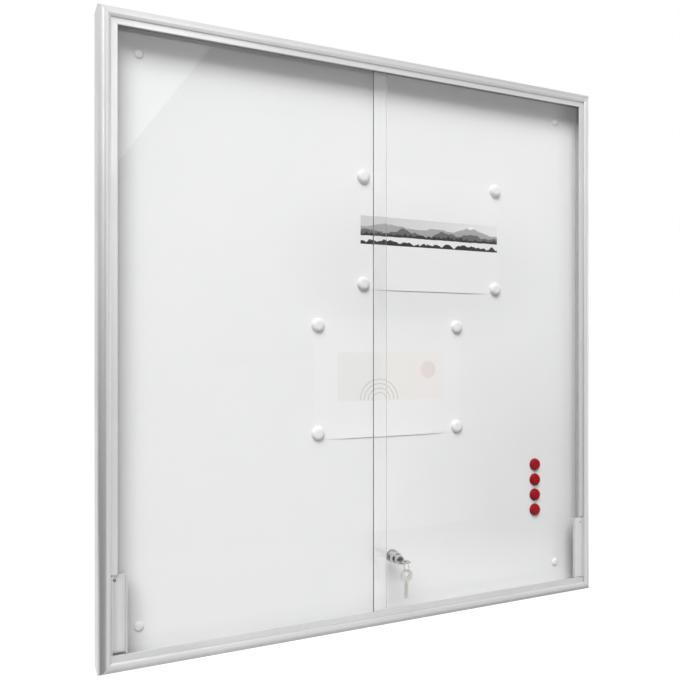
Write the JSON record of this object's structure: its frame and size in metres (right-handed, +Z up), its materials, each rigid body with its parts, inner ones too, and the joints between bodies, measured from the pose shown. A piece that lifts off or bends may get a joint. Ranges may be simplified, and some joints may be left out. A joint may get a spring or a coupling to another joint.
{
  "type": "lockable notice board",
  "caption": "Wall notice board: mitred aluminium frame, two glass panes sliding in tracks, white magnetic back, push lock with key on the front pane, notices held by magnets.",
  "frame": {"origin": "middle of the back, in the plane of the wall", "axes": "+X to the right as seen from the front, +Y into the wall, +Z up; the glass faces -Y"},
  "size_m": [0.95, 0.0992, 1],
  "materials": {
    "anodised_aluminium": "satin silver anodised",
    "cast_aluminium": "as cast",
    "board_core": "grey-brown fibreboard",
    "enamelled_steel": "gloss white enamel",
    "clear_glass": "clear float glass",
    "grey_plastic": "matt grey",
    "white_plastic": "satin white",
    "red_plastic": "satin red",
    "black_rubber": "matt black",
    "foam_tape": "matt black foam",
    "paper": "matt printed paper",
    "chromed_brass": "bright chrome",
    "nickel_steel": "nickel plated",
    "spring_steel": "drawn wire"
  },
  "bodies": {
    "case": {"frame_bottom": "anodised_aluminium", "frame_top": "anodised_aluminium", "frame_left": "anodised_aluminium", "frame_right": "anodised_aluminium", "corner_key_top_left": "cast_aluminium", "corner_key_top_right": "cast_aluminium", "corner_key_bottom_left": "cast_aluminium", "corner_key_bottom_right": "cast_aluminium", "back_board": "board_core", "back_sheet": "enamelled_steel", "fixing_bush_top_left": "grey_plastic", "fixing_bush_top_right": "grey_plastic", "fixing_bush_bottom_left": "grey_plastic", "fixing_bush_bottom_right": "grey_plastic", "fixing_cap_top_left": "white_plastic", "fixing_cap_top_right": "white_plastic", "fixing_cap_bottom_left": "white_plastic", "fixing_cap_bottom_right": "white_plastic", "top_track": "anodised_aluminium", "bottom_track": "anodised_aluminium", "runner_front": "grey_plastic", "runner_rear": "grey_plastic", "side_buffer_left": "black_rubber", "side_buffer_right": "black_rubber", "notice_upper": "paper", "notice_lower": "paper", "magnet_upper_top_left": "white_plastic", "magnet_upper_top_right": "white_plastic", "magnet_upper_bottom_left": "white_plastic", "magnet_upper_bottom_right": "white_plastic", "magnet_lower_top_left": "white_plastic", "magnet_lower_top_right": "white_plastic", "magnet_lower_bottom_left": "white_plastic", "magnet_lower_bottom_right": "white_plastic", "magnet_red_1": "red_plastic", "magnet_red_2": "red_plastic", "magnet_red_3": "red_plastic", "magnet_red_4": "red_plastic"},
    "left_door": {"pane_left": "clear_glass", "pull_left": "anodised_aluminium", "pull_tape_left": "foam_tape"},
    "right_door": {"pane_right": "clear_glass", "pull_right": "anodised_aluminium", "pull_tape_right": "foam_tape", "lock_sleeve": "chromed_brass", "lock_gasket": "black_rubber", "lock_washer": "black_rubber", "lock_nut": "nickel_steel", "lock_spring": "spring_steel"},
    "plunger": {"lock_barrel": "chromed_brass"},
    "plug": {"lock_plug": "nickel_steel", "key_in_lock": "nickel_steel"},
    "ring": {"key_ring": "nickel_steel"},
    "spare": {"spare_key": "nickel_steel"}
  },
  "joints": [
    {"name": "left_door_slide", "type": "slide", "parent": "case", "child": "left_door", "axis": [1, 0, 0], "range_m": [0, 0.417]},
    {"name": "right_door_slide", "type": "slide", "parent": "case", "child": "right_door", "axis": [1, 0, 0], "range_m": [-0.417, 0]},
    {"name": "lock_push", "type": "slide", "parent": "right_door", "child": "plunger", "axis": [0, 1, 0], "range_m": [0, 0.008], "stiffness_N_per_m": 500, "springref_m": -0.008, "deforming": ["lock_spring"]},
    {"name": "key_turn", "type": "hinge", "parent": "plunger", "child": "plug", "pos_m": [0.023, -0.069, -0.38], "axis": [0, 1, 0], "range_deg": [0, 90]},
    {"name": "key_ring_swing", "type": "hinge", "parent": "plug", "child": "ring", "pos_m": [0.023, -0.0902, -0.38], "axis": [1, 0, 0], "range_deg": [-15, 15]},
    {"name": "spare_key_swing", "type": "hinge", "parent": "ring", "child": "spare", "pos_m": [0.023, -0.0902, -0.39415], "axis": [0, 1, 0], "range_deg": [-30, 30]}
  ]
}
